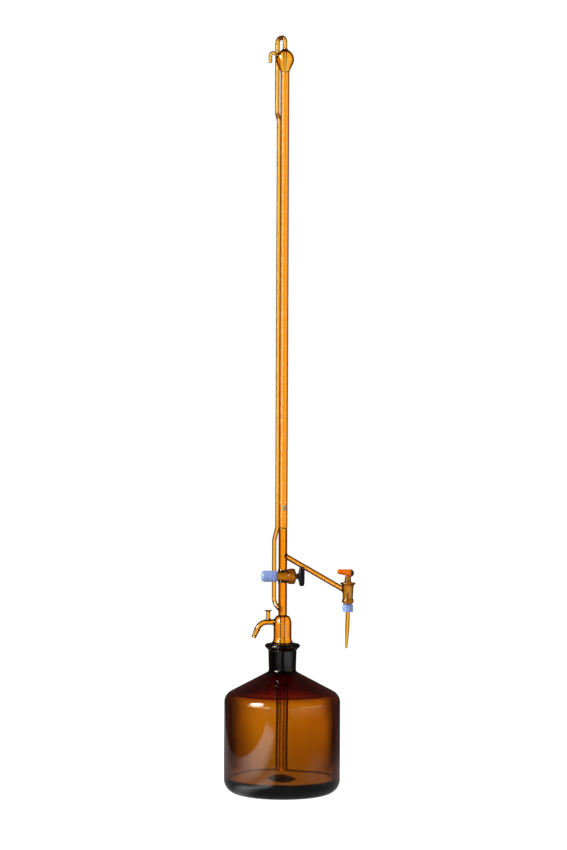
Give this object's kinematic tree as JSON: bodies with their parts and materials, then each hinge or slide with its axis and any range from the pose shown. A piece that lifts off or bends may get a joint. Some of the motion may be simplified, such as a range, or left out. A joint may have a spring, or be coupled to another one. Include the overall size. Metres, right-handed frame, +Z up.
{
  "type": "automatic burette",
  "caption": "Amber glass automatic burette on a squat reservoir bottle, with a riser and top loop, an overflow bulb, a drain cock and a side-arm delivery cock with a drip tip.",
  "frame": {"origin": "centre of the bottle's foot ring, on the surface that it stands on", "axes": "+Z up along the burette, +X towards the delivery cock, -Y towards the viewer"},
  "size_m": [0.1624, 0.145, 0.9473],
  "materials": {
    "amber_glass": "clear amber laboratory glass, fire-polished",
    "bottle_glass": "dark amber blown glass",
    "nut_plastic": "pale blue moulded plastic",
    "pale_plastic": "pale lilac plastic washer",
    "seal_rubber": "grey sealing ring",
    "black_plastic": "black moulded plastic"
  },
  "bodies": {
    "bottle": {"reservoir_bottle": "bottle_glass"},
    "burette": {"joint_head": "amber_glass", "dip_tube": "amber_glass", "dip_sleeve": "amber_glass", "hose_nozzle": "amber_glass", "vent_stub": "amber_glass", "lower_tube": "amber_glass", "feed_tube": "amber_glass", "graduated_tube": "amber_glass", "overflow_bulb": "amber_glass", "zero_tip": "amber_glass", "vent_hook": "amber_glass", "riser_tube": "amber_glass", "top_loop": "amber_glass", "side_arm": "amber_glass", "drain_cock_barrel": "amber_glass", "delivery_cock_barrel": "amber_glass"},
    "drain_key": {"drain_cock_key": "amber_glass", "drain_cock_handle": "black_plastic", "drain_cock_seal": "seal_rubber"},
    "drain_washer": {"drain_cock_washer": "pale_plastic"},
    "drain_nut": {"drain_cock_nut": "nut_plastic"},
    "delivery_key": {"delivery_cock_key": "amber_glass", "delivery_cock_handle": "amber_glass", "delivery_tip": "amber_glass", "delivery_cock_seal": "seal_rubber"},
    "delivery_washer": {"delivery_cock_washer": "pale_plastic"},
    "delivery_nut": {"delivery_cock_nut": "nut_plastic"}
  },
  "joints": [
    {"name": "burette_lift", "type": "slide", "parent": "bottle", "child": "burette", "axis": [0, 0, 1], "range_m": [0, 0.17]},
    {"name": "drain_cock_turn", "type": "hinge", "parent": "burette", "child": "drain_key", "pos_m": [0, 0, 0.2701], "axis": [1, 0, 0], "continuous": true},
    {"name": "drain_washer_shift", "type": "slide", "parent": "drain_key", "child": "drain_washer", "axis": [-1, 0, 0], "range_m": [0, 0.0015]},
    {"name": "drain_nut_turn", "type": "hinge", "parent": "drain_washer", "child": "drain_nut", "pos_m": [0, 0, 0.2701], "axis": [-1, 0, 0], "range_deg": [0, 360]},
    {"name": "delivery_cock_turn", "type": "hinge", "parent": "burette", "child": "delivery_key", "pos_m": [0.08048, -0.03252, 0.2532], "axis": [0, 0, 1], "continuous": true},
    {"name": "delivery_washer_shift", "type": "slide", "parent": "delivery_key", "child": "delivery_washer", "axis": [0, 0, -1], "range_m": [0, 0.0015]},
    {"name": "delivery_nut_turn", "type": "hinge", "parent": "delivery_washer", "child": "delivery_nut", "pos_m": [0.08048, -0.03252, 0.2532], "axis": [0, 0, -1], "range_deg": [0, 360]}
  ],
  "couplings": [
    {"joint": "drain_nut_turn", "follows": "drain_washer_shift", "rad_per_m": 4188.8},
    {"joint": "delivery_nut_turn", "follows": "delivery_washer_shift", "rad_per_m": 4188.8}
  ]
}
